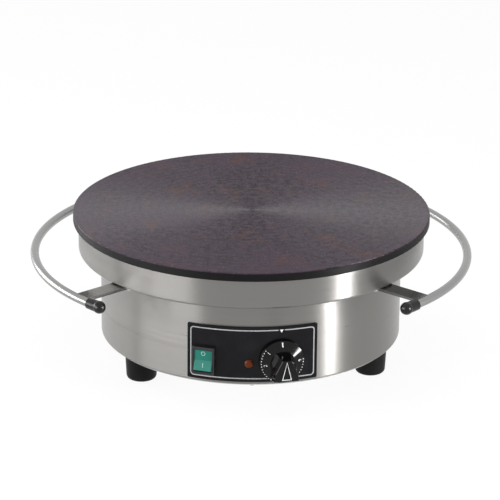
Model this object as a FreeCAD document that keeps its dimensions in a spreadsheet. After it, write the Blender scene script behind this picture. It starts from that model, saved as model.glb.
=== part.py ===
import FreeCAD, Part
import math
import os
import re
import Sketcher

# Electric crepe maker: a machined iron plate on a stepped round steel casing, with two rod handles,
# three feet and a curved control panel at the front. Millimetres, +Z up, the front faces -Y.
# The origin is on the table, under the centre of the plate.

Vector = FreeCAD.Vector
doc = FreeCAD.newDocument("crepe_maker")
sheet = doc.addObject("Spreadsheet::Sheet", "sizes")

# Driving dimensions, in millimetres and degrees. Heights are above the table unless they say otherwise,
# and angles are measured from the front, positive towards +X.
DRIVING = {
    # plate
    "plate_radius": 200,
    "plate_top": 169,
    "rim_height": 9.7,
    "rib_height": 5,
    "rib_gauge": 4,
    "boss_height": 8.5,
    "locating_outer": 186.5,
    "locating_inner": 182,
    # casing
    "ring_radius": 194,
    "ring_bottom": 125.8,
    "drum_radius": 169,
    "drum_bottom": 27.5,
    "sheet_gauge": 1,
    "bend_radius": 3,
    "step_inner": 150,
    "seat_inner": 187,
    "lip_inner": 155,
    "cover_radius": 165.5,
    "cover_gauge": 1.2,
    "cover_screw_ring": 160.5,
    # feet
    "foot_ring": 148,
    "foot_top_radius": 18,
    "foot_tip_radius": 16.6,
    "foot_round": 5,
    "foot_turn": 4.5,
    # handles
    "bow_radius": 243.3,
    "rod_radius": 4.75,
    "rod_drop": 4,
    "bow_span": 91.4,
    "cap_angle": 47.4,
    "bracket_angle": 40.5,
    "bracket_width": 20,
    "bracket_gauge": 3,
    "bracket_root": 171,
    "screw_pitch": 11,
    "ball_radius": 7,
    "socket_middle": 11.6,
    # panel
    "panel_span": 48.8,
    "panel_gauge": 1.5,
    "panel_low": 31.5,
    "panel_height": 64,
    # switch
    "switch_angle": -17.8,
    "switch_height": 54.5,
    "bezel_width": 25,
    "bezel_height": 32,
    "bezel_proud": 5,
    "rocker_width": 19.8,
    "rocker_tilt": 11,
    "trunnion_radius": 1.5,
    "running_gap": 0.05,
    # lamp
    "lamp_angle": -1.2,
    "lamp_height": 53.3,
    "lens_radius": 4.8,
    # thermostat
    "knob_angle": 10.6,
    "knob_height": 56,
    "dial_radius": 25,
    "dial_depth": 6,
    "dial_gap": 0.8,
    "grip_reach": 24,
    "spindle_radius": 3,
    # heating
    "element_radius": 4.25,
    "outer_ring": 135,
    "inner_ring": 80,
    "clamp_ring": 107.5,
    "tie_ring": 160,
    "clamp_gauge": 1.5,
    "shield_radius": 172,
    "stud_radius": 3,
    "probe_reach": 18,
    "probe_hole": 5,
    # cord inlet
    "gland_height": 55,
    "cord_radius": 4,
}
for row, (alias, default) in enumerate(DRIVING.items(), start=1):
    sheet.set(f"A{row}", alias)
    sheet.set(f"B{row}", str(default))
    sheet.setAlias(f"B{row}", alias)
doc.recompute()

# Derived heights and distances, written with the names above.
UNDERSIDE = "(plate_top - rim_height)"
CLAMP_TOP = "(plate_top - rim_height - boss_height)"
CLAMP_BOTTOM = "(plate_top - rim_height - boss_height - clamp_gauge)"
STEP_TOP = "(ring_bottom + sheet_gauge)"
SHIELD_TOP = "(ring_bottom + 2 * sheet_gauge)"
COVER_BOTTOM = "(drum_bottom - cover_gauge)"
PANEL_FACE = "(drum_radius + panel_gauge)"
ROD_HEIGHT = "(ring_bottom - rod_drop)"
WINDOW_ANGLE = 150

ALIAS_WORD = re.compile(r"\b(" + "|".join(DRIVING) + r")\b")
pieces = []


def number(text):
    """The value of an expression on the driving dimensions."""
    return float(sheet.evalExpression(text))


def bind(thing, target, text):
    """Bind one property or constraint to an expression on the sheet."""
    thing.setExpression(target, ALIAS_WORD.sub(r"sizes.\1", text))


def new_body(label):
    """An empty body whose label names its file."""
    body = doc.addObject("PartDesign::Body", label)
    body.Label = label
    pieces.append(body)
    return body


def free_form(label, shape):
    """A piece whose shape is made directly."""
    piece = doc.addObject("Part::Feature", label)
    piece.Label = label
    piece.Shape = shape
    piece.Placement = FreeCAD.Placement()
    pieces.append(piece)


def origin_part(body, role):
    """One of the body's own origin planes or axes."""
    return next(feature for feature in body.Origin.OriginFeatures if feature.Role == role)


def new_sketch(body, name, plane="XZ", lift="0", yaw="0", pitch="0"):
    """A sketch on an origin plane, lifted along its normal or turned about its own axes."""
    sketch = body.newObject("Sketcher::SketchObject", name)
    sketch.AttachmentSupport = [(origin_part(body, plane + "_Plane"), "")]
    sketch.MapMode = "FlatFace"
    bind(sketch, "AttachmentOffset", f"placement(vector(0; 0; {lift}); rotation({yaw}; {pitch}; 0))")
    return sketch


def fix_point(sketch, index, end, place):
    """Hold one end or centre of a sketch element at an expression for x and for y."""
    for axis, text in zip("XY", place):
        constraint = Sketcher.Constraint(f"Distance{axis}", -1, 1, index, end, number(text))
        bind(sketch, f"Constraints[{sketch.addConstraint(constraint)}]", text)


def outline(sketch, points):
    """A closed outline through points, each a pair of expressions."""
    first = sketch.GeometryCount
    places = [Vector(number(across), number(along), 0) for across, along in points]
    count = len(points)
    for index in range(count):
        sketch.addGeometry(Part.LineSegment(places[index], places[(index + 1) % count]), False)
    for index in range(count):
        following = first + (index + 1) % count
        sketch.addConstraint(Sketcher.Constraint("Coincident", first + index, 2, following, 1))
        fix_point(sketch, first + index, 1, points[index])


def rectangle(sketch, across, along, width, height):
    """A rectangle about a centre."""
    left, right = f"{across} - ({width}) / 2", f"{across} + ({width}) / 2"
    low, high = f"{along} - ({height}) / 2", f"{along} + ({height}) / 2"
    outline(sketch, [(left, low), (right, low), (right, high), (left, high)])


def circle(sketch, across, along, radius):
    """A circle about a centre."""
    centre = Vector(number(across), number(along), 0)
    index = sketch.addGeometry(Part.Circle(centre, Vector(0, 0, 1), number(radius)), False)
    fix_point(sketch, index, 3, (across, along))
    size = sketch.addConstraint(Sketcher.Constraint("Radius", index, number(radius)))
    bind(sketch, f"Constraints[{size}]", radius)


def hexagon(sketch, across, along, flats, bore):
    """A nut's outline about a centre, with its bore."""
    corner = f"({flats} / 2 / cos(30))"
    outline(sketch, [(f"{across} + {corner} * cos({60 * k})", f"{along} + {corner} * sin({60 * k})") for k in range(6)])
    circle(sketch, across, along, bore)


def turned(body, name, points, centre="0"):
    """A full turn of an outline about the vertical line at x = centre."""
    sketch = new_sketch(body, name + "_profile")
    outline(sketch, [(f"{centre} + {across}", along) for across, along in points])
    axis = "V_Axis"
    if centre != "0":
        foot, head = Vector(number(centre), 0, 0), Vector(number(centre), 50, 0)
        index = sketch.addGeometry(Part.LineSegment(foot, head), True)
        fix_point(sketch, index, 1, (centre, "0"))
        fix_point(sketch, index, 2, (centre, "50"))
        axis = "Axis0"
    feature = body.newObject("PartDesign::Revolution", name)
    feature.Profile = sketch
    feature.ReferenceAxis = (sketch, [axis])
    feature.Angle = 360
    return feature


def padded(body, name, sketch, length, down=False, both=False):
    """A pad of a sketch along its normal, against it, or half each way."""
    feature = body.newObject("PartDesign::Pad", name)
    feature.Profile = sketch
    feature.Reversed = down
    feature.SideType = "Symmetric" if both else "One side"
    bind(feature, "Length", length)
    return feature


def pocketed(body, name, sketch, length, forward=True, both=False):
    """A pocket along the sketch's normal, or against it; it stops the build if it cuts nothing."""
    doc.recompute()
    before = body.Shape.Volume
    feature = body.newObject("PartDesign::Pocket", name)
    feature.Profile = sketch
    feature.Reversed = forward
    feature.SideType = "Symmetric" if both else "One side"
    bind(feature, "Length", length)
    doc.recompute()
    if body.Shape.Volume > before - 1e-3:
        raise RuntimeError(f"{body.Label}: {name} cuts nothing")
    return feature


def repeated(body, name, features, count):
    """The same features again, evenly spaced about the body's Z axis."""
    pattern = body.newObject("PartDesign::PolarPattern", name)
    pattern.Originals = features
    pattern.Axis = (origin_part(body, "Z_Axis"), [""])
    pattern.Angle = 360
    pattern.Occurrences = count
    body.Tip = pattern
    doc.recompute()
    return pattern


def round_edges(body, name, radius, wanted):
    """Round the edges that the test picks."""
    doc.recompute()
    base = body.Tip
    names = [f"Edge{n}" for n, edge in enumerate(base.Shape.Edges, start=1) if wanted(edge)]
    if not names:
        raise RuntimeError(f"{body.Label}: {name} finds no edge")
    feature = body.newObject("PartDesign::Fillet", name)
    feature.Base = (base, names)
    bind(feature, "Radius", radius)
    doc.recompute()
    return feature


def ring_edge(*rings):
    """A test for full circles about the Z axis, each given as a radius and a height."""
    spots = [(number(radius), number(height)) for radius, height in rings]

    def wanted(edge):
        if not isinstance(edge.Curve, Part.Circle):
            return False
        size, high = edge.Curve.Radius, edge.Curve.Center.z
        return any(abs(size - radius) < 0.01 and abs(high - height) < 0.01 for radius, height in spots)

    return wanted


def stand(body, reach, angle, height):
    """Turn a piece that is modelled along +Z so that it points out of the casing at an angle.

    Its own X then runs sideways along the panel and its own Y runs up."""
    base = f"vector({reach} * sin({angle}); -{reach} * cos({angle}); {height})"
    bind(body, "Placement", f"placement({base}; rotation({angle}; 0; 90))")


# Griddle plate

plate = new_body("griddle_plate")


def element_ribs(ring):
    """The two cast ribs that locate one ring of the heating element, from the outside inwards."""
    gap = "element_radius + 0.3"
    lowered = f"{UNDERSIDE} - rib_height"
    outer, outer_face = f"{ring} + {gap} + rib_gauge", f"{ring} + {gap}"
    inner_face, inner = f"{ring} - ({gap})", f"{ring} - ({gap}) - rib_gauge"
    return [
        (outer, UNDERSIDE), (outer, lowered), (outer_face, lowered), (outer_face, UNDERSIDE),
        (inner_face, UNDERSIDE), (inner_face, lowered), (inner, lowered), (inner, UNDERSIDE),
    ]


plate_section = [
    ("0", "plate_top"),
    ("plate_radius", "plate_top"),
    ("plate_radius", UNDERSIDE),
    ("locating_outer", UNDERSIDE),
    ("locating_outer", f"{UNDERSIDE} - 3"),
    ("locating_inner", f"{UNDERSIDE} - 3"),
    ("locating_inner", UNDERSIDE),
    *element_ribs("outer_ring"),
    *element_ribs("inner_ring"),
    ("14", UNDERSIDE),
    ("14", CLAMP_TOP),
    ("0", CLAMP_TOP),
]
turned(plate, "plate_disc", plate_section)
round_edges(plate, "rim_rounds", "1.2", ring_edge(("plate_radius", "plate_top"), ("plate_radius", UNDERSIDE)))
rib_sketch = new_sketch(plate, "outer_rib_outline", "XY", lift=UNDERSIDE)
rectangle(rib_sketch, "164.5", "0", "37", "rib_gauge")
outer_rib = padded(plate, "outer_rib", rib_sketch, "3", down=True)
repeated(plate, "outer_ribs", [outer_rib], 12)
boss_sketch = new_sketch(plate, "boss_outlines", "XY", lift=UNDERSIDE)
circle(boss_sketch, "0", "clamp_ring", "8")
circle(boss_sketch, "0", "tie_ring", "9")
bosses = padded(plate, "bosses", boss_sketch, "boss_height", down=True)
hole_sketch = new_sketch(plate, "stud_hole_outlines", "XY", lift=CLAMP_TOP)
circle(hole_sketch, "0", "clamp_ring", "stud_radius")
circle(hole_sketch, "0", "tie_ring", "stud_radius")
stud_holes = pocketed(plate, "stud_holes", hole_sketch, "boss_height + 5.5")
repeated(plate, "bosses_and_holes", [bosses, stud_holes], 3)

# Heating elements: each is one tube, bent down at both ends into its cold pins

ELBOW = 9
PIN_BOTTOM = number(STEP_TOP) - 9


def heating_ring(label, ring_alias, half_gap):
    """An open ring of tube with its two ends side by side at the window, turned down."""
    ring = number(ring_alias)
    tube = number("element_radius")
    height = number(f"{UNDERSIDE} - element_radius")
    middle = math.radians(WINDOW_ANGLE)
    opening = half_gap / ring

    def on_ring(angle):
        return Vector(ring * math.cos(angle), ring * math.sin(angle), height)

    def elbow(angle, side):
        """The elbow's points: on the ring, halfway round it, and where the pin starts."""
        tangent = Vector(-math.sin(angle), math.cos(angle), 0) * side
        start = on_ring(angle)
        centre = start - Vector(0, 0, ELBOW)
        diagonal = (Vector(0, 0, 1) - tangent) * (ELBOW / math.sqrt(2))
        return start, centre + diagonal, centre - tangent * ELBOW

    first, last = middle + opening, middle + 2 * math.pi - opening
    ring_start, bend_in, pin_in = elbow(first, 1)
    ring_end, bend_out, pin_out = elbow(last, -1)
    foot_in = Vector(pin_in.x, pin_in.y, PIN_BOTTOM)
    foot_out = Vector(pin_out.x, pin_out.y, PIN_BOTTOM)
    path = Part.Wire([
        Part.makeLine(foot_in, pin_in),
        Part.Arc(pin_in, bend_in, ring_start).toShape(),
        Part.Arc(ring_start, on_ring(middle + math.pi), ring_end).toShape(),
        Part.Arc(ring_end, bend_out, pin_out).toShape(),
        Part.makeLine(pin_out, foot_out),
    ])
    section = Part.Wire([Part.makeCircle(tube, foot_in, Vector(0, 0, 1))])
    free_form(label, path.makePipeShell([section], True, False))


heating_ring("outer_heating_element", "outer_ring", 20)
heating_ring("inner_heating_element", "inner_ring", 20)


def window(body, name, low, depth):
    """The opening through which the elements' pins and their leads pass."""
    sketch = new_sketch(body, name + "_outline", "XY", lift=low, yaw=str(WINDOW_ANGLE))
    rectangle(sketch, "(outer_ring + inner_ring) / 2", "0", "outer_ring - inner_ring + 17", "34")
    return pocketed(body, name, sketch, depth)


# Clamp plate under the elements

clamp = new_body("element_clamp_plate")
clamp_sketch = new_sketch(clamp, "clamp_outline", "XY", lift=CLAMP_BOTTOM)
circle(clamp_sketch, "0", "0", "step_inner - 1")
circle(clamp_sketch, "probe_reach", "0", "probe_hole")
padded(clamp, "clamp_disc", clamp_sketch, "clamp_gauge")
window(clamp, "pin_window", f"{CLAMP_BOTTOM} - 1", "clamp_gauge + 2")
clamp_hole_sketch = new_sketch(clamp, "stud_clearance", "XY", lift=f"{CLAMP_BOTTOM} - 1")
circle(clamp_hole_sketch, "0", "clamp_ring", "stud_radius + 0.3")
clamp_hole = pocketed(clamp, "stud_hole", clamp_hole_sketch, "clamp_gauge + 2")
repeated(clamp, "stud_hole_circle", [clamp_hole], 3)


def rod_set(label, ring, radius, low, high):
    """Three plain studs on a circle."""
    body = new_body(label)
    sketch = new_sketch(body, "stud_outline", "XY", lift=low)
    circle(sketch, "0", ring, radius)
    stud = padded(body, "stud", sketch, f"{high} - {low}")
    repeated(body, "stud_circle", [stud], 3)


def nut_set(label, ring, low, across_flats, thickness):
    """Three hexagon nuts on a circle, each with its bore."""
    body = new_body(label)
    sketch = new_sketch(body, "nut_outline", "XY", lift=low)
    hexagon(sketch, "0", ring, across_flats, "stud_radius")
    nut = padded(body, "nut", sketch, thickness)
    repeated(body, "nut_circle", [nut], 3)


rod_set("clamp_studs", "clamp_ring", "stud_radius", f"{CLAMP_BOTTOM} - 8", f"({UNDERSIDE} + 5)")
nut_set("clamp_nuts", "clamp_ring", f"{CLAMP_BOTTOM} - 5", "10", "5")
rod_set("plate_tie_studs", "tie_ring", "stud_radius", "(ring_bottom - sheet_gauge - 8)", f"({UNDERSIDE} + 5)")
nut_set("tie_stud_nuts", "tie_ring", "(ring_bottom - sheet_gauge - 5)", "10", "5")

spacers = new_body("tie_spacers")
spacer_sketch = new_sketch(spacers, "spacer_outline", "XY", lift=SHIELD_TOP)
circle(spacer_sketch, "0", "tie_ring", "stud_radius + 2.5")
circle(spacer_sketch, "0", "tie_ring", "stud_radius + 0.2")
spacer = padded(spacers, "spacer", spacer_sketch, f"{CLAMP_TOP} - {SHIELD_TOP}")
repeated(spacers, "spacer_circle", [spacer], 3)

# Insulation and heat shield

insulation = new_body("insulation_disc")
insulation_sketch = new_sketch(insulation, "disc_outline", "XY", lift=SHIELD_TOP)
circle(insulation_sketch, "0", "0", "shield_radius - sheet_gauge - 0.4")
circle(insulation_sketch, "probe_reach", "0", "probe_hole")
padded(insulation, "disc", insulation_sketch, f"{CLAMP_BOTTOM} - {SHIELD_TOP}")
window(insulation, "pin_window", f"{SHIELD_TOP} - 1", "30")
tie_sketch = new_sketch(insulation, "spacer_clearance", "XY", lift=f"{SHIELD_TOP} - 1")
circle(tie_sketch, "0", "tie_ring", "stud_radius + 3")
tie_hole = pocketed(insulation, "spacer_hole", tie_sketch, "30")
nut_room_sketch = new_sketch(insulation, "nut_clearance", "XY", lift=f"{CLAMP_BOTTOM} - 11")
circle(nut_room_sketch, "0", "clamp_ring", "9")
nut_room = pocketed(insulation, "nut_room", nut_room_sketch, "12")
repeated(insulation, "hole_circle", [tie_hole, nut_room], 3)

shield = new_body("heat_shield")
shield_section = [
    ("0", STEP_TOP),
    ("shield_radius", STEP_TOP),
    ("shield_radius", f"{STEP_TOP} + 18"),
    ("shield_radius - sheet_gauge", f"{STEP_TOP} + 18"),
    ("shield_radius - sheet_gauge", SHIELD_TOP),
    ("0", SHIELD_TOP),
]
turned(shield, "pan", shield_section)
shield_hole_sketch = new_sketch(shield, "probe_hole_outline", "XY", lift=f"{STEP_TOP} - 1")
circle(shield_hole_sketch, "probe_reach", "0", "probe_hole")
pocketed(shield, "probe_hole", shield_hole_sketch, "4")
window(shield, "pin_window", f"{STEP_TOP} - 1", "4")
shield_tie_sketch = new_sketch(shield, "tie_clearance", "XY", lift=f"{STEP_TOP} - 1")
circle(shield_tie_sketch, "0", "tie_ring", "stud_radius + 0.3")
shield_tie = pocketed(shield, "tie_hole", shield_tie_sketch, "4")
repeated(shield, "tie_hole_circle", [shield_tie], 3)

# Casings: the upper one is the stepped ring that carries the plate, the lower one is the drum

CORNERS = {
    "front_right": "-bracket_angle",
    "rear_right": "bracket_angle",
    "rear_left": "180 - bracket_angle",
    "front_left": "180 + bracket_angle",
}


def screw_pair(sketch, radius):
    """The two screw positions of one bracket, side by side across it."""
    circle(sketch, "bracket_root + 10", "screw_pitch / 2", radius)
    circle(sketch, "bracket_root + 10", "-screw_pitch / 2", radius)


def tie_holes(body, low):
    """Clearance holes for the three studs that tie the plate and both casings together."""
    sketch = new_sketch(body, "tie_hole_outline", "XY", lift=f"{low} - 1")
    circle(sketch, "0", "tie_ring", "stud_radius + 0.3")
    hole = pocketed(body, "tie_hole", sketch, "sheet_gauge + 2")
    repeated(body, "tie_hole_circle", [hole], 3)


upper = new_body("upper_casing")
upper_section = [
    ("seat_inner", UNDERSIDE),
    ("ring_radius", UNDERSIDE),
    ("ring_radius", "ring_bottom"),
    ("step_inner", "ring_bottom"),
    ("step_inner", STEP_TOP),
    ("ring_radius - sheet_gauge", STEP_TOP),
    ("ring_radius - sheet_gauge", f"{UNDERSIDE} - sheet_gauge"),
    ("seat_inner", f"{UNDERSIDE} - sheet_gauge"),
]
turned(upper, "shell", upper_section)
round_edges(upper, "outer_bends", "bend_radius", ring_edge(("ring_radius", "ring_bottom")))
round_edges(upper, "inner_bends", "bend_radius - sheet_gauge", ring_edge(("ring_radius - sheet_gauge", STEP_TOP)))
round_edges(upper, "top_bend", "1.4", ring_edge(("ring_radius", UNDERSIDE)))
tie_holes(upper, "ring_bottom")
for corner, angle in CORNERS.items():
    holes = new_sketch(upper, f"{corner}_hole_outlines", "XY", lift="ring_bottom - 1", yaw=angle)
    screw_pair(holes, "2.2")
    pocketed(upper, f"{corner}_holes", holes, "sheet_gauge + 2")

lower = new_body("lower_casing")
lower_section = [
    ("step_inner", "ring_bottom"),
    ("drum_radius", "ring_bottom"),
    ("drum_radius", "drum_bottom"),
    ("lip_inner", "drum_bottom"),
    ("lip_inner", "drum_bottom + sheet_gauge"),
    ("drum_radius - sheet_gauge", "drum_bottom + sheet_gauge"),
    ("drum_radius - sheet_gauge", "ring_bottom - sheet_gauge"),
    ("step_inner", "ring_bottom - sheet_gauge"),
]
turned(lower, "shell", lower_section)
round_edges(lower, "outer_bend", "bend_radius", ring_edge(("drum_radius", "drum_bottom")))
round_edges(lower, "inner_bend", "bend_radius - sheet_gauge",
            ring_edge(("drum_radius - sheet_gauge", "drum_bottom + sheet_gauge")))
tie_holes(lower, "ring_bottom - sheet_gauge")


def panel_openings(body, switch_margin):
    """The holes for switch, lamp, thermostat and its screws, cut outwards from the middle at each angle."""
    cut = "plate_radius"
    switch = new_sketch(body, "switch_opening", pitch="switch_angle")
    rectangle(switch, "0", "switch_height", f"(bezel_width - {switch_margin})", f"(bezel_height - {switch_margin})")
    pocketed(body, "switch_cut", switch, cut)
    lamp = new_sketch(body, "lamp_opening", pitch="lamp_angle")
    circle(lamp, "0", "lamp_height", "lens_radius - 0.8")
    pocketed(body, "lamp_cut", lamp, cut)
    shaft = new_sketch(body, "spindle_opening", pitch="knob_angle")
    circle(shaft, "0", "knob_height", "spindle_radius + 2.3")
    circle(shaft, "14", "knob_height", "2.1")
    circle(shaft, "-14", "knob_height", "2.1")
    pocketed(body, "spindle_cut", shaft, cut)


panel_openings(lower, 2.2)
gland_sketch = new_sketch(lower, "gland_opening", pitch="180")
circle(gland_sketch, "0", "gland_height", "8.2")
pocketed(lower, "gland_cut", gland_sketch, "plate_radius")
lip_sketch = new_sketch(lower, "cover_screw_opening", "XY", lift="drum_bottom - 1", yaw="60")
circle(lip_sketch, "0", "cover_screw_ring", "1.8")
lip_hole = pocketed(lower, "cover_screw_hole", lip_sketch, "sheet_gauge + 2")
repeated(lower, "cover_screw_circle", [lip_hole], 3)

# Base cover with its vents

cover = new_body("base_cover")
cover_sketch = new_sketch(cover, "cover_outline", "XY", lift=COVER_BOTTOM)
circle(cover_sketch, "0", "0", "cover_radius")
padded(cover, "disc", cover_sketch, "cover_gauge")
vent_sketch = new_sketch(cover, "vent_outline", "XY", lift=f"{COVER_BOTTOM} - 1")
for distance in ("52", "72", "92"):
    rectangle(vent_sketch, distance, "0", "6", f"{distance} / 3")
vent = pocketed(cover, "vent", vent_sketch, "cover_gauge + 2")
repeated(cover, "vents", [vent], 12)
screw_sketch = new_sketch(cover, "screw_outline", "XY", lift=f"{COVER_BOTTOM} - 1", yaw="60")
circle(screw_sketch, "0", "cover_screw_ring", "2.2")
cover_hole = pocketed(cover, "screw_hole", screw_sketch, "cover_gauge + 2")
repeated(cover, "screw_holes", [cover_hole], 3)
foot_sketch = new_sketch(cover, "foot_screw_outline", "XY", lift=f"{COVER_BOTTOM} - 1", yaw="foot_turn")
circle(foot_sketch, "0", "foot_ring", "2.7")
foot_hole = pocketed(cover, "foot_screw_hole", foot_sketch, "cover_gauge + 2")
repeated(cover, "foot_screw_holes", [foot_hole], 3)


def screw_set(label, ring, seat, head_radius, head_height, shank_radius, shank_length, turn="0", up=True):
    """Three screws on a circle, with domed heads, driven upwards or downwards from their seat."""
    body = new_body(label)
    way = 1 if up else -1
    head_low, shank_high = f"{seat} - {way} * {head_height}", f"{seat} + {way} * {shank_length}"
    section = [
        ("0", head_low), (f"{head_radius} * 0.7", head_low), (head_radius, f"{seat} - {way} * {head_height} / 2"),
        (head_radius, seat), (shank_radius, seat), (shank_radius, shank_high), ("0", shank_high),
    ]
    screw = turned(body, "screw", section, centre=ring)
    repeated(body, "screw_circle", [screw], 3)
    bind(body, "Placement", f"placement(vector(0; 0; 0); rotation(90 + {turn}; 0; 0))")


screw_set("base_cover_screws", "cover_screw_ring", COVER_BOTTOM, "3.6", "2.2", "1.7", "7", turn="60")

# Feet

FOOT_SEAT = "17"
FOOT_ANGLES = {"rear_foot": "0", "front_left_foot": "120", "front_right_foot": "240"}
for label, angle in FOOT_ANGLES.items():
    foot = new_body(label)
    section = [
        ("2.7", COVER_BOTTOM), ("foot_top_radius", COVER_BOTTOM), ("foot_tip_radius", "0"),
        ("6.5", "0"), ("6.5", FOOT_SEAT), ("2.7", FOOT_SEAT),
    ]
    turned(foot, "moulding", section)
    round_edges(foot, "tip_round", "foot_round", ring_edge(("foot_tip_radius", "0")))
    round_edges(foot, "top_round", "0.8", ring_edge(("foot_top_radius", COVER_BOTTOM)))
    spot = f"vector(-foot_ring * sin({angle} + foot_turn); foot_ring * cos({angle} + foot_turn); 0)"
    bind(foot, "Placement", f"placement({spot}; rotation(0; 0; 0))")

screw_set("foot_screws", "foot_ring", f"({FOOT_SEAT} - 1)", "4.6", "3.2", "2.45", "17", turn="foot_turn")
washers = new_body("foot_washers")
washer_sketch = new_sketch(washers, "washer_outline", "XY", lift=f"{FOOT_SEAT} - 1")
circle(washer_sketch, "0", "foot_ring", "6.2")
circle(washer_sketch, "0", "foot_ring", "2.65")
washer = padded(washers, "washer", washer_sketch, "1")
repeated(washers, "washer_circle", [washer], 3)
bind(washers, "Placement", "placement(vector(0; 0; 0); rotation(foot_turn; 0; 0))")
nut_body = new_body("foot_nuts")
foot_nut_sketch = new_sketch(nut_body, "nut_outline", "XY", lift="drum_bottom")
hexagon(foot_nut_sketch, "0", "foot_ring", "8", "2.5")
foot_nut = padded(nut_body, "nut", foot_nut_sketch, "4")
repeated(nut_body, "nut_circle", [foot_nut], 3)
bind(nut_body, "Placement", "placement(vector(0; 0; 0); rotation(foot_turn; 0; 0))")

# Handles: a bent rod each side, two flat straps welded to it, and a ball cap on each end


def rod_circle(sketch, height):
    """The rod's round section, where the bow crosses the sketch."""
    circle(sketch, "bow_radius", height, "rod_radius")


for label, turn in (("right_handle_bow", "0"), ("left_handle_bow", "180")):
    bow = new_body(label)
    bow_sketch = new_sketch(bow, "rod_section")
    rod_circle(bow_sketch, ROD_HEIGHT)
    bend = bow.newObject("PartDesign::Revolution", "bent_rod")
    bend.Profile = bow_sketch
    bend.ReferenceAxis = (bow_sketch, ["V_Axis"])
    bend.Midplane = True
    bind(bend, "Angle", "bow_span")
    bind(bow, "Placement", f"placement(vector(0; 0; 0); rotation({turn}; 0; 0))")

for corner, angle in CORNERS.items():
    bracket = new_body(f"{corner}_bracket")
    strap_sketch = new_sketch(bracket, "strap_outline", "XY", lift="ring_bottom")
    length = "(bow_radius - bracket_root)"
    rectangle(strap_sketch, f"bracket_root + {length} / 2", "0", length, "bracket_width")
    padded(bracket, "strap", strap_sketch, "bracket_gauge", down=True)
    cope_sketch = new_sketch(bracket, "cope_section")
    rod_circle(cope_sketch, ROD_HEIGHT)
    doc.recompute()
    strap_volume = bracket.Shape.Volume
    cope = bracket.newObject("PartDesign::Groove", "cope")
    cope.Profile = cope_sketch
    cope.ReferenceAxis = (cope_sketch, ["V_Axis"])
    cope.Midplane = True
    cope.Angle = 20
    doc.recompute()
    if bracket.Shape.Volume > strap_volume - 1:
        raise RuntimeError(f"{bracket.Label}: the cope cuts nothing")
    screw_holes = new_sketch(bracket, "screw_hole_outlines", "XY", lift="ring_bottom - bracket_gauge - 1")
    screw_pair(screw_holes, "2.2")
    pocketed(bracket, "screw_holes", screw_holes, "bracket_gauge + 2")
    bind(bracket, "Placement", f"placement(vector(0; 0; 0); rotation({angle}; 0; 0))")

for corner, angle in CORNERS.items():
    cap = new_body(f"{corner}_end_cap")
    section = [
        ("0", "-6"), ("rod_radius + 0.1", "-6"), ("rod_radius + 0.1", "-16"),
        ("rod_radius + 1.4", "-16"), ("rod_radius + 1.7", "0"), ("0", "0"),
    ]
    turned(cap, "sleeve", section)
    ball_sketch = new_sketch(cap, "ball_section")
    radius = number("ball_radius")
    cut_angle = math.radians(-58)
    full = Part.Circle(Vector(0, 0, 0), Vector(0, 0, 1), radius)
    arc = ball_sketch.addGeometry(Part.ArcOfCircle(full, cut_angle, math.radians(90)), False)
    low_y = radius * math.sin(cut_angle)
    low_x = radius * math.cos(cut_angle)
    across = ball_sketch.addGeometry(Part.LineSegment(Vector(0, low_y, 0), Vector(low_x, low_y, 0)), False)
    back = ball_sketch.addGeometry(Part.LineSegment(Vector(0, radius, 0), Vector(0, low_y, 0)), False)
    ball_sketch.addConstraint(Sketcher.Constraint("Coincident", across, 2, arc, 1))
    ball_sketch.addConstraint(Sketcher.Constraint("Coincident", arc, 2, back, 1))
    ball_sketch.addConstraint(Sketcher.Constraint("Coincident", back, 2, across, 1))
    ball_sketch.addConstraint(Sketcher.Constraint("Coincident", arc, 3, -1, 1))
    ball_sketch.addConstraint(Sketcher.Constraint("Vertical", back))
    ball_sketch.addConstraint(Sketcher.Constraint("Horizontal", across))
    ball_sketch.addConstraint(Sketcher.Constraint("PointOnObject", back, 1, -2))
    ball_sketch.addConstraint(Sketcher.Constraint("DistanceY", -1, 1, across, 1, low_y))
    size = ball_sketch.addConstraint(Sketcher.Constraint("Radius", arc, radius))
    bind(ball_sketch, f"Constraints[{size}]", "ball_radius")
    ball = cap.newObject("PartDesign::Revolution", "ball")
    ball.Profile = ball_sketch
    ball.ReferenceAxis = (ball_sketch, ["V_Axis"])
    ball.Angle = 360
    way = -1 if corner in ("front_right", "rear_left") else 1
    middle = f"({angle.replace('bracket_angle', 'cap_angle')} - {way} * socket_middle / bow_radius * 180 / pi)"
    spot_x = f"bow_radius * cos({middle}) - {way} * socket_middle * sin({middle})"
    spot_y = f"bow_radius * sin({middle}) + {way} * socket_middle * cos({middle})"
    heading = f"{middle} + {way} * 90"
    bind(cap, "Placement", f"placement(vector({spot_x}; {spot_y}; {ROD_HEIGHT}); rotation({heading}; 90; 0))")

bracket_screws = new_body("bracket_screws")
for index, angle in enumerate(CORNERS.values()):
    heads = new_sketch(bracket_screws, f"heads_{index}", "XY", lift="ring_bottom - bracket_gauge", yaw=angle)
    shanks = new_sketch(bracket_screws, f"shanks_{index}", "XY", lift="ring_bottom - bracket_gauge", yaw=angle)
    screw_pair(heads, "4")
    screw_pair(shanks, "2")
    padded(bracket_screws, f"screw_heads_{index}", heads, "2.4", down=True)
    padded(bracket_screws, f"screw_shanks_{index}", shanks, "bracket_gauge + sheet_gauge + 5")

bracket_nuts = new_body("bracket_nuts")
for index, angle in enumerate(CORNERS.values()):
    nuts = new_sketch(bracket_nuts, f"nuts_{index}", "XY", lift=STEP_TOP, yaw=angle)
    for side in ("screw_pitch / 2", "-screw_pitch / 2"):
        hexagon(nuts, "bracket_root + 10", side, "7", "2.05")
    padded(bracket_nuts, f"nut_pair_{index}", nuts, "3.2")

# Control panel

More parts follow.
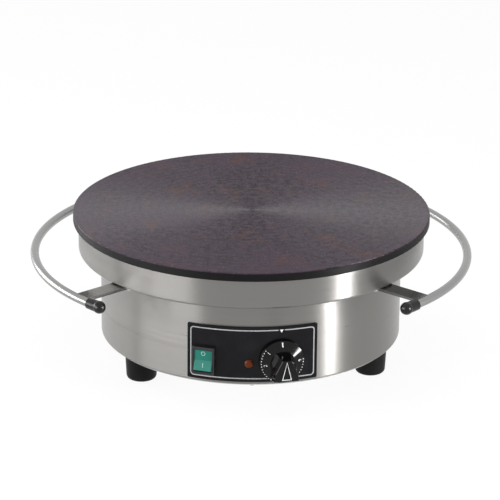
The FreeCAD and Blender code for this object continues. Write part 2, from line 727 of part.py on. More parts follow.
panel = new_body("control_panel")
panel_sketch = new_sketch(panel, "panel_section", "YZ")
outline(panel_sketch, [
    (f"-{PANEL_FACE}", "panel_low"), ("-drum_radius", "panel_low"),
    ("-drum_radius", "panel_low + panel_height"), (f"-{PANEL_FACE}", "panel_low + panel_height"),
])
fascia = panel.newObject("PartDesign::Revolution", "fascia")
fascia.Profile = panel_sketch
fascia.ReferenceAxis = (panel_sketch, ["V_Axis"])
fascia.Midplane = True
bind(fascia, "Angle", "panel_span")
round_edges(panel, "corner_rounds", "1.5", lambda edge: abs(edge.Length - number("panel_gauge")) < 0.01)
panel_openings(panel, 1)

# Power switch: bezel and body are one moulding, and the rocker turns on its trunnions between the walls

BEZEL_BACK = f"(sqrt({PANEL_FACE} ^ 2 - (bezel_width / 2) ^ 2) - {PANEL_FACE})"
VALLEY = "3.2"
PIVOT = f"(bezel_proud - 1 - {VALLEY})"
SWEEP = "12.42"
housing = new_body("switch_housing")
bezel_sketch = new_sketch(housing, "bezel_outline", "XY", lift=BEZEL_BACK)
rectangle(bezel_sketch, "0", "0", "bezel_width", "bezel_height")
padded(housing, "bezel", bezel_sketch, f"bezel_proud - {BEZEL_BACK}")
round_edges(housing, "bezel_rounds", "1", lambda edge: edge.BoundBox.ZMax > 4.9)
seat_sketch = new_sketch(housing, "panel_round_outline", "XZ", lift="-bezel_height")
circle(seat_sketch, "0", f"-{PANEL_FACE}", f"{PANEL_FACE} + running_gap")
pocketed(housing, "panel_round", seat_sketch, "2 * bezel_height")
shell_sketch = new_sketch(housing, "body_outline", "XY", lift=f"{BEZEL_BACK} - 24")
rectangle(shell_sketch, "0", "0", "bezel_width - 3.2", "bezel_height - 3.2")
padded(housing, "switch_body", shell_sketch, "24.2")
room_sketch = new_sketch(housing, "rocker_room_outline", "XY", lift=f"{PIVOT} - 12.6")
rectangle(room_sketch, "0", "0", "rocker_width + 0.6", f"2 * {SWEEP} + 0.7")
pocketed(housing, "rocker_room", room_sketch, "30")
bore_sketch = new_sketch(housing, "trunnion_bore_outline", "YZ")
circle(bore_sketch, "0", PIVOT, "trunnion_radius + running_gap")
pocketed(housing, "trunnion_bores", bore_sketch, "rocker_width + 3.6", both=True)
stand(housing, PANEL_FACE, "switch_angle", "switch_height")

rocker = new_body("power_rocker")
drum_sketch = new_sketch(rocker, "end_arcs", "YZ")
circle(drum_sketch, "0", "0", SWEEP)
padded(rocker, "barrel", drum_sketch, "rocker_width", both=True)
face_sketch = new_sketch(rocker, "face_outline", "YZ")
rise = f"({VALLEY} + 20 * tan(rocker_tilt))"
outline(face_sketch, [("0", VALLEY), ("20", rise), ("20", "30"), ("-20", "30"), ("-20", rise)])
pocketed(rocker, "faces", face_sketch, "40", both=True)
back_sketch = new_sketch(rocker, "back_outline", "YZ")
outline(back_sketch, [("-20", "-5"), ("-20", "-30"), ("20", "-30"), ("20", "-5")])
pocketed(rocker, "back", back_sketch, "40", both=True)
pin_sketch = new_sketch(rocker, "trunnion_outline", "YZ")
circle(pin_sketch, "0", "0", "trunnion_radius")
padded(rocker, "trunnions", pin_sketch, "rocker_width + 3", both=True)
pivot_reach = f"({PANEL_FACE} + {PIVOT})"
pivot_spot = f"vector({pivot_reach} * sin(switch_angle); -{pivot_reach} * cos(switch_angle); switch_height)"
bind(rocker, "Placement", f"placement({pivot_spot}; rotation(switch_angle; 0; 90 - rocker_tilt))")


def blades(label, spots, low, reach, angle, height):
    """Flat push-on terminals standing out of the back of a control."""
    body = new_body(label)
    for index, (across, along) in enumerate(spots):
        sketch = new_sketch(body, f"blade_{index}", "XY", lift=low)
        rectangle(sketch, across, along, "6.3", "0.8")
        padded(body, f"terminal_{index}", sketch, "8", down=True)
    stand(body, reach, angle, height)


switch_spots = [("-5", "-7"), ("5", "-7"), ("-5", "7"), ("5", "7")]
blades("switch_terminals", switch_spots, f"({BEZEL_BACK} - 24)", PANEL_FACE, "switch_angle", "switch_height")

# Pilot lamp

lens = new_body("indicator_lens")
lens_section = [
    ("0", "2.6"), ("lens_radius - 1.6", "2.6"), ("lens_radius", "1"), ("lens_radius", "0"),
    ("lens_radius - 0.85", "0"), ("lens_radius - 0.85", "-6"), ("0", "-6"),
]
turned(lens, "lens_turning", lens_section)
round_edges(lens, "dome_round", "1.2", ring_edge(("lens_radius - 1.6", "2.6")))
stand(lens, PANEL_FACE, "lamp_angle", "lamp_height")
lamp = new_body("indicator_body")
lamp_section = [
    ("0", "-6"), ("lens_radius - 0.85", "-6"), ("lens_radius - 0.85", "-2.7"), ("lens_radius + 1", "-2.7"),
    ("lens_radius + 1", "-5"), ("lens_radius - 0.2", "-6"), ("lens_radius - 0.2", "-24"), ("0", "-24"),
]
turned(lamp, "holder", lamp_section)
stand(lamp, PANEL_FACE, "lamp_angle", "lamp_height")

# Thermostat: a box behind the drum wall, its spindle, and the knob

thermostat = new_body("thermostat_body")
box_sketch = new_sketch(thermostat, "box_outline", "XY", lift="-30")
rectangle(box_sketch, "0", "0", "36", "40")
padded(thermostat, "box", box_sketch, "26.4")
round_edges(thermostat, "box_rounds", "2", lambda edge: abs(edge.Length - 26.4) < 0.01)
bush_sketch = new_sketch(thermostat, "bush_outline", "XY", lift="-4")
circle(bush_sketch, "0", "0", "spindle_radius + 2.1")
padded(thermostat, "bush", bush_sketch, "4.4")
shaft_sketch = new_sketch(thermostat, "spindle_bore_outline", "XY", lift="-12")
circle(shaft_sketch, "0", "0", "spindle_radius + running_gap")
pocketed(thermostat, "spindle_bore", shaft_sketch, "20")
tapped_sketch = new_sketch(thermostat, "tapped_hole_outlines", "XY", lift="-13")
circle(tapped_sketch, "14", "0", "2")
circle(tapped_sketch, "-14", "0", "2")
pocketed(thermostat, "tapped_holes", tapped_sketch, "12")
stand(thermostat, PANEL_FACE, "knob_angle", "knob_height")
thermostat_spots = [("-9", "10"), ("9", "10")]
blades("thermostat_terminals", thermostat_spots, "-30", PANEL_FACE, "knob_angle", "knob_height")

thermostat_screws = new_body("thermostat_screws")
head_seat = f"(sqrt({PANEL_FACE} ^ 2 - 10.8 ^ 2) - {PANEL_FACE} + 0.02)"
thermostat_screw_section = [
    ("0", f"{head_seat} + 2"), ("2", f"{head_seat} + 2"), ("3.2", f"{head_seat} + 1"), ("3.2", head_seat),
    ("2", head_seat), ("2", "-11"), ("0", "-11"),
]
thermostat_screw = turned(thermostat_screws, "screw", thermostat_screw_section, centre="14")
repeated(thermostat_screws, "screw_pair", [thermostat_screw], 2)
stand(thermostat_screws, PANEL_FACE, "knob_angle", "knob_height")

DIAL_FACE = "(dial_gap + dial_depth)"
HUB_BACK = "1.6"
BORE_END = "14.2"
spindle = new_body("thermostat_spindle")
spindle_sketch = new_sketch(spindle, "spindle_outline", "XY", lift="-11.5")
circle(spindle_sketch, "0", "0", "spindle_radius")
padded(spindle, "shaft", spindle_sketch, f"11.5 + {BORE_END}")
flat_sketch = new_sketch(spindle, "flat_outline", "XY", lift=HUB_BACK)
rectangle(flat_sketch, "0", "4.3", "10", "4")
pocketed(spindle, "flat", flat_sketch, "20")
stand(spindle, PANEL_FACE, "knob_angle", "knob_height")

knob = new_body("thermostat_knob")
dial_section = [
    ("0", HUB_BACK), ("6", HUB_BACK), ("6", "3.6"), ("dial_radius - 2.5", "2.6"), ("dial_radius - 1.6", "dial_gap"),
    ("dial_radius", "dial_gap"), ("dial_radius - 0.4", f"{DIAL_FACE} - 2.4"), ("14", DIAL_FACE), ("0", DIAL_FACE),
]
turned(knob, "dial", dial_section)
round_edges(knob, "dial_round", "0.7", ring_edge(("dial_radius - 0.4", f"{DIAL_FACE} - 2.4")))
GRIP_ROOT = [("-13.5", "-17"), ("13.5", "-17"), ("13", "4"), ("9.5", "13"), ("-9.5", "13"), ("-13", "4")]
GRIP_FRONT = [
    ("-13.5", "-12.5"), ("13.5", "-12.5"), ("12.5", "-4"), ("4.6", "11.5"), ("-4.6", "11.5"), ("-12.5", "-4"),
]
root_sketch = new_sketch(knob, "grip_root", "XY", lift=f"{DIAL_FACE} - 2.5")
outline(root_sketch, GRIP_ROOT)
front_sketch = new_sketch(knob, "grip_front", "XY", lift=f"{DIAL_FACE} + grip_reach")
outline(front_sketch, GRIP_FRONT)
grip = knob.newObject("PartDesign::AdditiveLoft", "grip")
grip.Profile = root_sketch
grip.Sections = [front_sketch]
grip.Ruled = True
front_height = number(f"{DIAL_FACE} + grip_reach")
round_edges(knob, "grip_rounds", "1", lambda edge: edge.BoundBox.ZMin > front_height - 0.01)
bore = new_sketch(knob, "bore_outline", "XY", lift="0")
circle(bore, "0", "0", "spindle_radius")
pocketed(knob, "bore", bore, BORE_END)
key_sketch = new_sketch(knob, "flat_key_outline", "XY", lift=HUB_BACK)
rectangle(key_sketch, "0", "2.9", "5", "1.2")
padded(knob, "flat_key", key_sketch, f"{BORE_END} - {HUB_BACK}")
stand(knob, PANEL_FACE, "knob_angle", "knob_height")

# Supply inlet at the rear: a cord gland with its nut inside

gland = new_body("cord_gland")
gland_section = [
    ("cord_radius", "-16"), ("8", "-16"), ("8", "1.2"), ("11", "1.2"),
    ("11", "5"), ("8.5", "7"), ("6.5", "13"), ("cord_radius", "13"),
]
turned(gland, "moulding", gland_section)
round_edges(gland, "mouth_round", "0.8", ring_edge(("6.5", "13")))
stand(gland, "(drum_radius - 1)", "180", "gland_height")
gland_nut = new_body("gland_nut")
gland_nut_sketch = new_sketch(gland_nut, "nut_outline", "XY", lift="-8")
hexagon(gland_nut_sketch, "0", "0", "22", "8")
padded(gland_nut, "nut", gland_nut_sketch, "6")
stand(gland_nut, "(drum_radius - 1)", "180", "gland_height")

# Mains terminal block and earth stud on the base cover

block = new_body("terminal_block")
block_sketch = new_sketch(block, "block_outline", "XY", lift="drum_bottom")
rectangle(block_sketch, "-50", "95", "44", "20")
padded(block, "block", block_sketch, "17")
slot_sketch = new_sketch(block, "partition_outline", "XY", lift="drum_bottom + 9")
rectangle(slot_sketch, "-64", "95", "9", "21")
rectangle(slot_sketch, "-50", "95", "9", "21")
rectangle(slot_sketch, "-36", "95", "9", "21")
pocketed(block, "ways", slot_sketch, "10")
clamps = new_body("terminal_clamps")
for index, across in enumerate(("-64", "-50", "-36")):
    brass_sketch = new_sketch(clamps, f"clamp_outline_{index}", "XY", lift="drum_bottom + 9")
    rectangle(brass_sketch, across, "95", "7", "18")
    padded(clamps, f"clamp_{index}", brass_sketch, "6")
earth = new_body("earth_stud")
earth_section = [
    ("0", "drum_bottom"), ("5", "drum_bottom"), ("5", "drum_bottom + 4"), ("2.5", "drum_bottom + 4"),
    ("2.5", "drum_bottom + 16"), ("0", "drum_bottom + 16"),
]
turned(earth, "stud", earth_section)
bind(earth, "Placement", "placement(vector(45; 100; 0); rotation(0; 0; 0))")

# Thermostat probe: the bulb lies against the plate, and its capillary runs down to the box


def bent_tube(points, radius, bend):
    """A tube along straight runs joined by tangent arcs; its volume is compared with its length."""
    edges = []
    start = points[0]
    for before, corner, after in zip(points, points[1:], points[2:]):
        inward = (corner - before).normalize()
        outward = (after - corner).normalize()
        turn = inward.getAngle(outward)
        room = bend * math.tan(turn / 2)
        arc_start = corner - inward * room
        arc_end = corner + outward * room
        bisector = (outward - inward).normalize()
        arc_middle = corner + bisector * (bend / math.cos(turn / 2) - bend)
        edges += [Part.makeLine(start, arc_start), Part.Arc(arc_start, arc_middle, arc_end).toShape()]
        start = arc_end
    edges.append(Part.makeLine(start, points[-1]))
    path = Part.Wire(edges)
    section = Part.Wire([Part.makeCircle(radius, points[0], points[1] - points[0])])
    tube = path.makePipeShell([section], True, False)
    expected = math.pi * radius ** 2 * path.Length
    if abs(tube.Volume - expected) > 0.02 * expected:
        raise RuntimeError("a bent tube's volume is wrong")
    return tube


bulb_height = number(f"{UNDERSIDE} - 3")
bulb = Part.makeCylinder(3, 42, Vector(24, 0, bulb_height), Vector(1, 0, 0))
probe_reach = number("probe_reach")
route = [
    Vector(25, 0, bulb_height), Vector(probe_reach, 0, bulb_height), Vector(probe_reach, 0, 104),
    Vector(27, -112, 104), Vector(27, -139, 84), Vector(27, -139, 76),
]
free_form("thermostat_probe", bulb.fuse(bent_tube(route, 1, 3)))

# Check every object, then write one file for each piece

doc.recompute()
for item in doc.Objects:
    if "Invalid" in item.State or "Error" in item.State:
        raise RuntimeError(f"{item.Name} failed: {item.State}")
for piece in pieces:
    if piece.Shape.isNull() or not piece.Shape.isValid():
        raise RuntimeError(f"{piece.Label} has no valid shape")
os.makedirs("parts", exist_ok=True)
for piece in pieces:
    piece.Shape.exportStep(f"parts/{piece.Label}.step")
print(len(pieces), "pieces")
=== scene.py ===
# %% [markdown]
# # An electric crepe maker
#
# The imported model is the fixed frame: its plate, casing, handles and controls are already at their real size.
# This lesson gives every piece its finish, adds the printing on the panel, the knob and the rocker, and sets
# up a small white studio. All lengths are in metres, +Z is up and the control panel faces -Y.

# %% Load the frame
import math

import bmesh
import bpy
from mathutils import Matrix, Vector


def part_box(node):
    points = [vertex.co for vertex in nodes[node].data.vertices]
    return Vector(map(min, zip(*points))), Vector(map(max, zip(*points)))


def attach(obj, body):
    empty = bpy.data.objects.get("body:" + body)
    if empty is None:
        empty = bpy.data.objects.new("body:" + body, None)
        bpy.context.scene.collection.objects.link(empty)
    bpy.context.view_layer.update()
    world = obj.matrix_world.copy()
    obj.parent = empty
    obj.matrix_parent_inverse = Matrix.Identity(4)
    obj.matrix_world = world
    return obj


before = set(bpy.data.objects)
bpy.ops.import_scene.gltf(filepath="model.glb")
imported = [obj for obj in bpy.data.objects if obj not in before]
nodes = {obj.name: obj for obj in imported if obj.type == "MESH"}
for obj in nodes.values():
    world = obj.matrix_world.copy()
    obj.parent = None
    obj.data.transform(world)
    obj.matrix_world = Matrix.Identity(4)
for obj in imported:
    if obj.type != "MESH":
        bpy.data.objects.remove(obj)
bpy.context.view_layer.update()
MM = 0.001

# %% [markdown]
# ## Measures from the frame
#
# The panel's face and the plate's top are read from the nodes' own boxes, so they follow the model. The
# places of the knob and the switch on the round panel, and the sizes of the marks, are written out.

# %% Measures
PLATE_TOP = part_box("griddle_plate")[1].z
panel_low, panel_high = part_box("control_panel")
PANEL_FACE = -panel_low.y
KNOB_ANGLE = math.radians(10.6)
KNOB_HEIGHT = 56 * MM
SWITCH_ANGLE = math.radians(-17.8)
SWITCH_HEIGHT = 54.5 * MM
print("panel face", round(PANEL_FACE, 4), "plate top", round(PLATE_TOP, 4))

# %% [markdown]
# ## Camera
#
# A product photograph like this one is taken with a long lens from a few metres away and a little above, so
# the round plate shows as a clean ellipse and the sides hardly converge. The camera stands on a sphere round
# its target, given by an azimuth, an elevation and a distance, and leans by half a degree.

# %% Camera
CAMERA_DISTANCE = 3.5
CAMERA_ELEVATION = math.radians(20.64)
CAMERA_AZIMUTH = math.radians(-0.85)
CAMERA_ROLL = math.radians(0.54)
CAMERA_LENS = 223.55
SENSOR_WIDTH = 36
FARTHEST_SEEN = 100
TARGET = Vector((-0.0012, 0, 0.1206))
back = Vector((
    math.sin(CAMERA_AZIMUTH) * math.cos(CAMERA_ELEVATION),
    -math.cos(CAMERA_AZIMUTH) * math.cos(CAMERA_ELEVATION),
    math.sin(CAMERA_ELEVATION),
))
lens = bpy.data.cameras.new("camera")
lens.lens = CAMERA_LENS
lens.sensor_width = SENSOR_WIDTH
lens.clip_end = FARTHEST_SEEN
camera = bpy.data.objects.new("camera", lens)
bpy.context.scene.collection.objects.link(camera)
lean = Matrix.Rotation(CAMERA_ROLL, 4, "Z")
facing = back.to_track_quat("Z", "Y").to_matrix().to_4x4()
camera.matrix_world = Matrix.Translation(TARGET + back * CAMERA_DISTANCE) @ facing @ lean
bpy.context.scene.camera = camera
bpy.context.scene.view_settings.view_transform = "Standard"
print("camera at", [round(value, 3) for value in camera.matrix_world.translation], "lens", lens.lens, "mm")

# %% [markdown]
# ## Shader maths as Python
#
# Node trees are easier to read as sums. `Wire` wraps one output socket, and its operators add Math nodes, so
# `1 - mask * 0.2` means what it says. Every other node comes from `Tree.add`, which takes the node's type,
# its settings and the values or wires of its inputs.

# %% Wires and trees


# A Mix node has sockets for every kind of value: these are the places of its two colours and their mixture.
MIX_FIRST = 6
MIX_SECOND = 7
MIX_COLOR = 2


class Wire:
    """One output socket, with arithmetic that adds Math nodes."""

    def __init__(self, tree, socket):
        self.tree = tree
        self.socket = socket

    def math(self, operation, *values):
        return self.tree.add("ShaderNodeMath", {"operation": operation}, {n: v for n, v in enumerate(values)})

    def __add__(self, other):
        return self.math("ADD", self, other)

    def __sub__(self, other):
        return self.math("SUBTRACT", self, other)

    def __rsub__(self, other):
        return self.math("SUBTRACT", other, self)

    def __mul__(self, other):
        return self.math("MULTIPLY", self, other)

    __radd__ = __add__
    __rmul__ = __mul__

    def power(self, other):
        return self.math("POWER", self, other)

    def sine(self):
        return self.math("SINE", self)

    def step(self, low, high):
        """0 below low, 1 above high, and smooth between."""
        inputs = {"Value": self, "From Min": low, "From Max": high}
        return self.tree.add("ShaderNodeMapRange", {"interpolation_type": "SMOOTHSTEP"}, inputs)

    def beside(self, name):
        """Another output of the same node."""
        return Wire(self.tree, self.socket.node.outputs[name])


class Tree:
    """A material's node tree, started with its Principled shader."""

    def __init__(self, name):
        self.material = bpy.data.materials.new(name)
        self.material.use_nodes = True
        self.nodes = self.material.node_tree.nodes
        self.links = self.material.node_tree.links
        self.shader = self.nodes["Principled BSDF"]

    def add(self, kind, settings=None, inputs=None, output=0):
        node = self.nodes.new(kind)
        for name, value in (settings or {}).items():
            setattr(node, name, value)
        self.feed(node, inputs or {})
        return Wire(self, node.outputs[output])

    def feed(self, node, inputs):
        for name, value in inputs.items():
            if isinstance(value, Wire):
                self.links.new(value.socket, node.inputs[name])
            else:
                node.inputs[name].default_value = value

    def surface(self, **inputs):
        """Set the shader's own sockets; an underscore in a name stands for a space."""
        self.feed(self.shader, {name.replace("_", " "): value for name, value in inputs.items()})
        return self.material

    def place(self):
        return self.add("ShaderNodeTexCoord", output="Object")

    def noise(self, vector, scale, detail, roughness=0.55):
        inputs = {"Vector": vector, "Scale": scale, "Detail": detail, "Roughness": roughness}
        return self.add("ShaderNodeTexNoise", None, inputs)

    def stretch(self, vector, scale):
        return self.add("ShaderNodeMapping", None, {"Vector": vector, "Scale": scale})

    def blend(self, factor, first, second):
        """A colour between two others; each may be a wire or an RGBA value."""
        inputs = {"Factor": factor, MIX_FIRST: first, MIX_SECOND: second}
        return self.add("ShaderNodeMix", {"data_type": "RGBA"}, inputs, MIX_COLOR)

    def bump(self, height, distance, strength):
        inputs = {"Height": height, "Distance": distance, "Strength": strength}
        return self.add("ShaderNodeBump", None, inputs)

    def split(self, vector):
        first = self.add("ShaderNodeSeparateXYZ", None, {"Vector": vector})
        return [first.beside(axis) for axis in "XYZ"]


def grey(level):
    return (level, level, level, 1)


def dress(material, *names):
    """Give CAD nodes their finish."""
    for name in names:
        slots = nodes[name].data.materials
        slots.clear()
        slots.append(material)
    print(material.name, "on", ", ".join(names))


# %% [markdown]
# ## The iron plate
#
# The top of a crepe plate is turned on a lathe and then seasoned, so it is dark, slightly warm and covered
# with very fine rings. Light on such rings spreads into a fan that turns about the middle. An anisotropic
# shader gives that fan, and a small bump on the distance from the axis gives the rings themselves. The rim
# below the top is plain black, so a mask on the height parts the two.

# %% Plate material
FINE_RING = 1.6 * MM
COARSE_RING = 9.3 * MM
RIM_STARTS = 1.2 * MM
RIM_ENDS = 0.4 * MM
RIM_BLACK = (0.005, 0.0045, 0.005, 1)
SEASONED_DARK = (0.015, 0.0105, 0.015, 1)
SEASONED_LIGHT = (0.042, 0.029, 0.042, 1)
MOTTLE = (0.054, 0.038, 0.053, 1)
RUST = (0.085, 0.038, 0.028, 1)
SPECK = (0.11, 0.085, 0.105, 1)


def plate_iron():
    tree = Tree("plate_iron")
    place = tree.place()
    across, along, height = tree.split(place)
    radius = (across * across + along * along).power(0.5)
    rings = (radius * (2 * math.pi / FINE_RING)).sine()
    coarse = (radius * (2 * math.pi / COARSE_RING)).sine()
    blotches = tree.noise(place, 9.0, 5.0)
    rust = tree.noise(place, 26.0, 6.0, 0.7).step(0.53, 0.68)
    mottle = tree.noise(place, 130.0, 5.0, 0.7).step(0.35, 0.65)
    specks = tree.noise(place, 420.0, 2.0)
    on_top = height.step(PLATE_TOP - RIM_STARTS, PLATE_TOP - RIM_ENDS)
    seasoned = tree.blend(blotches.step(0.38, 0.62), SEASONED_DARK, SEASONED_LIGHT)
    mottled = tree.blend(mottle, seasoned, MOTTLE)
    browned = tree.blend(rust * 0.6, mottled, RUST)
    top = tree.blend(specks.step(0.5, 0.7) * 0.5, browned, SPECK)
    color = tree.blend(on_top, RIM_BLACK, top)
    roughness = 0.6 - on_top * 0.19 + (blotches - 0.5) * 0.2 + coarse * 0.01
    relief = rings * 0.5 + coarse * 0.35 + specks * 0.6
    normal = tree.bump(relief, 0.00004, 0.6)
    return tree.surface(
        Base_Color=color, Roughness=roughness, Normal=normal, Metallic=on_top * 0.55, Anisotropic=0.9,
        Anisotropic_Rotation=0.25, Specular_IOR_Level=0.15,
    )


dress(plate_iron(), "griddle_plate")

# %% [markdown]
# ## Brushed stainless steel
#
# The casing is brushed round and round, so its scratches are long and level, and its reflections are drawn
# out upwards. The noise is stretched flat for the scratches, and the shader's anisotropy does the rest. The
# white floor and world fill most of what the steel mirrors, so its own tone is set darker than real steel's.

# %% Steel materials


def brushed_steel(name, tone, roughness, anisotropy, depth):
    tree = Tree(name)
    place = tree.place()
    scratches = tree.noise(tree.stretch(place, (3, 3, 900)), 2.0, 6.0, 0.7)
    long_marks = tree.noise(tree.stretch(place, (1.5, 1.5, 260)), 2.0, 3.0)
    clouds = tree.noise(place, 7.0, 3.0)
    light = [min(1, v * 1.07) for v in tone] + [1]
    dark = [v * 0.92 for v in tone] + [1]
    color = tree.blend(scratches * 0.7 + clouds * 0.3, dark, light)
    rough = roughness + (long_marks - 0.5) * 0.12 + (clouds - 0.5) * 0.05
    normal = tree.bump(scratches, depth, 0.5)
    return tree.surface(
        Base_Color=color, Roughness=rough, Normal=normal, Metallic=1.0, Anisotropic=anisotropy,
        Anisotropic_Rotation=0.25,
    )


casing = brushed_steel("casing_steel", (0.215, 0.209, 0.2), 0.3, 0.9, 0.00002)
dress(casing, "upper_casing", "lower_casing")
handle = brushed_steel("handle_steel", (0.3, 0.3, 0.295), 0.25, 0.0, 0.00001)
dress(handle, "left_handle_bow", "right_handle_bow")
strap = brushed_steel("strap_steel", (0.2, 0.198, 0.195), 0.24, 0.0, 0.00001)
dress(strap, "front_left_bracket", "front_right_bracket", "rear_left_bracket", "rear_right_bracket")
inner = brushed_steel("inner_steel", (0.5, 0.5, 0.5), 0.35, 0.0, 0.00002)
dress(inner, "base_cover", "heat_shield", "element_clamp_plate")
zinc = brushed_steel("fastener_steel", (0.62, 0.62, 0.6), 0.25, 0.0, 0.00001)
dress(zinc, "base_cover_screws", "foot_screws", "foot_washers", "foot_nuts", "bracket_screws",
      "bracket_nuts", "clamp_studs", "clamp_nuts", "plate_tie_studs", "tie_stud_nuts", "tie_spacers",
      "thermostat_screws", "thermostat_spindle")

# %% [markdown]
# ## Rubber and plastics
#
# Several blacks meet here, and only their gloss and grain tell them apart: the satin rubber of the feet, the
# shinier rubber of the caps, the glossy panel, the switch and the moulded knob. One function makes them all,
# and the ceramic of the inner pieces too, with a fine grain in the bump and a soft variation in the gloss.

# %% Moulded materials


def moulded(name, color, roughness, grain_scale, grain_depth, shine=0.35):
    tree = Tree(name)
    place = tree.place()
    grain = tree.noise(place, grain_scale, 3.0)
    clouds = tree.noise(place, 22.0, 4.0)
    lighter = [min(1, v * 1.5 + 0.003) for v in color] + [1]
    tone = tree.blend(clouds.step(0.35, 0.75), [*color, 1], lighter)
    rough = roughness + (clouds - 0.5) * 0.12
    normal = tree.bump(grain, grain_depth, 0.5)
    return tree.surface(Base_Color=tone, Roughness=rough, Normal=normal, Specular_IOR_Level=shine)


foot_rubber = moulded("foot_rubber", (0.003, 0.003, 0.003), 0.45, 900.0, 0.00005, 0.1)
dress(foot_rubber, "front_left_foot", "front_right_foot", "rear_foot")
cap_rubber = moulded("cap_rubber", (0.003, 0.003, 0.003), 0.25, 700.0, 0.00001, 0.3)
dress(cap_rubber, "front_left_end_cap", "front_right_end_cap", "rear_left_end_cap", "rear_right_end_cap")
panel_black = moulded("panel_black", (0.004, 0.004, 0.005), 0.2, 1200.0, 0.000004, 0.12)
dress(panel_black, "control_panel")
switch_black = moulded("switch_black", (0.008, 0.008, 0.009), 0.3, 1500.0, 0.00001)
dress(switch_black, "switch_housing")
knob_black = moulded("knob_black", (0.002, 0.002, 0.002), 0.1, 900.0, 0.000003, 0.2)
dress(knob_black, "thermostat_knob")
nylon_black = moulded("nylon_black", (0.02, 0.02, 0.02), 0.4, 900.0, 0.00002)
dress(nylon_black, "cord_gland", "gland_nut", "indicator_body")
ceramic = moulded("ceramic", (0.6, 0.58, 0.53), 0.6, 300.0, 0.0001)
dress(ceramic, "terminal_block", "insulation_disc", "thermostat_body")

# %% [markdown]
# ## Rocker, lamp and metal inside
#
# The rocker and the lamp lens are tinted see-through plastic. Both are unlit, so a saturated colour with a
# little variation in its depth is enough, under a thin clear coat on the rocker. The brass of the terminals
# and the sheath of the heating elements come from the steel function, with other tones.

# %% Tinted plastics, brass and sheath


def tinted(name, dark, light, roughness, coat, shine):
    tree = Tree(name)
    place = tree.place()
    depth = tree.noise(place, 60.0, 2.0)
    color = tree.blend(depth, [*dark, 1], [*light, 1])
    normal = tree.bump(tree.noise(place, 500.0, 2.0), 0.00001, 0.4)
    rough = roughness + (depth - 0.5) * 0.08
    return tree.surface(
        Base_Color=color, Roughness=rough, Normal=normal, Coat_Weight=coat, Coat_Roughness=0.08,
        Specular_IOR_Level=shine,
    )


rocker_green = tinted("rocker_green", (0.006, 0.115, 0.085), (0.009, 0.15, 0.115), 0.25, 0.1, 0.2)
dress(rocker_green, "power_rocker")
lens_amber = tinted("lens_amber", (0.085, 0.016, 0.002), (0.12, 0.024, 0.003), 0.3, 0.0, 0.15)
dress(lens_amber, "indicator_lens")
brass = brushed_steel("brass", (0.75, 0.56, 0.25), 0.3, 0.0, 0.00001)
dress(brass, "terminal_clamps", "switch_terminals", "thermostat_terminals", "earth_stud", "thermostat_probe")
sheath = brushed_steel("element_sheath", (0.16, 0.14, 0.13), 0.45, 0.0, 0.00002)
dress(sheath, "outer_heating_element", "inner_heating_element")

# %% [markdown]
# ## Printing
#
# Printed marks are thin sheets laid a hair's breadth above the surface that carries them. Each starts flat: a
# rectangle or a circle made by an operator, bevelled or inset to its outline. Then its points are wrapped
# round the panel, or stood on the knob.

# %% Printing helpers
INK = 0.00006
LIFT = 0.00002


def ink_material(name, color):
    tree = Tree(name)
    wear = tree.noise(tree.place(), 900.0, 3.0)
    tone = tree.blend(wear, [v * 0.82 for v in color] + [1], [*color, 1])
    return tree.surface(Base_Color=tone, Roughness=0.45 + wear * 0.1)


white_ink = ink_material("white_ink", (0.72, 0.72, 0.71))
grey_ink = ink_material("grey_ink", (0.33, 0.33, 0.34))
green_ink = ink_material("green_ink", (0.36, 0.52, 0.47))
print("inks", white_ink.name, grey_ink.name, green_ink.name, "of thickness", INK)


def finish_piece(name, shape, body, material):
    """Turn a bmesh into a named object that rides on a body."""
    bmesh.ops.recalc_face_normals(shape, faces=shape.faces)
    mesh = bpy.data.meshes.new(name)
    shape.to_mesh(mesh)
    shape.free()
    mesh.materials.append(material)
    piece = bpy.data.objects.new(name, mesh)
    bpy.context.scene.collection.objects.link(piece)
    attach(piece, body)
    print(name, "with", len(mesh.polygons), "faces on", body)


def flat_rectangle(width, height):
    """A single face in the XY plane, about the origin."""
    shape = bmesh.new()
    bmesh.ops.create_grid(shape, x_segments=1, y_segments=1, size=0.5)
    bmesh.ops.scale(shape, vec=(width, height, 1), verts=shape.verts)
    return shape


def thicken(shape, depth):
    """Give a flat sheet a thickness along its own Z."""
    grown = bmesh.ops.extrude_face_region(shape, geom=shape.faces[:])
    moved = [item for item in grown["geom"] if isinstance(item, bmesh.types.BMVert)]
    bmesh.ops.translate(shape, vec=(0, 0, depth), verts=moved)


def slice_across(shape, low, high, spacing):
    """Cut a flat sheet into strips, so that it can follow a curve."""
    count = max(1, round((high - low) / spacing))
    for index in range(1, count):
        where = low + (high - low) * index / count
        geometry = shape.verts[:] + shape.edges[:] + shape.faces[:]
        bmesh.ops.bisect_plane(shape, geom=geometry, plane_co=(where, 0, 0), plane_no=(1, 0, 0))


def wrap_on_panel(shape):
    """Bend a flat sheet round the panel: x is the arc from the front, y the height, z the distance out."""
    for vertex in shape.verts:
        reach = PANEL_FACE + LIFT + vertex.co.z
        angle = vertex.co.x / PANEL_FACE
        vertex.co = Vector((reach * math.sin(angle), -reach * math.cos(angle), vertex.co.y))


# %% [markdown]
# The border line on the panel has round corners and a gap at the top, where a small white triangle points
# down at the knob. A rectangle with bevelled corners is inset by the line's width, and its middle is taken
# out. It is cut into strips before it is wrapped, so that it follows the panel's round.

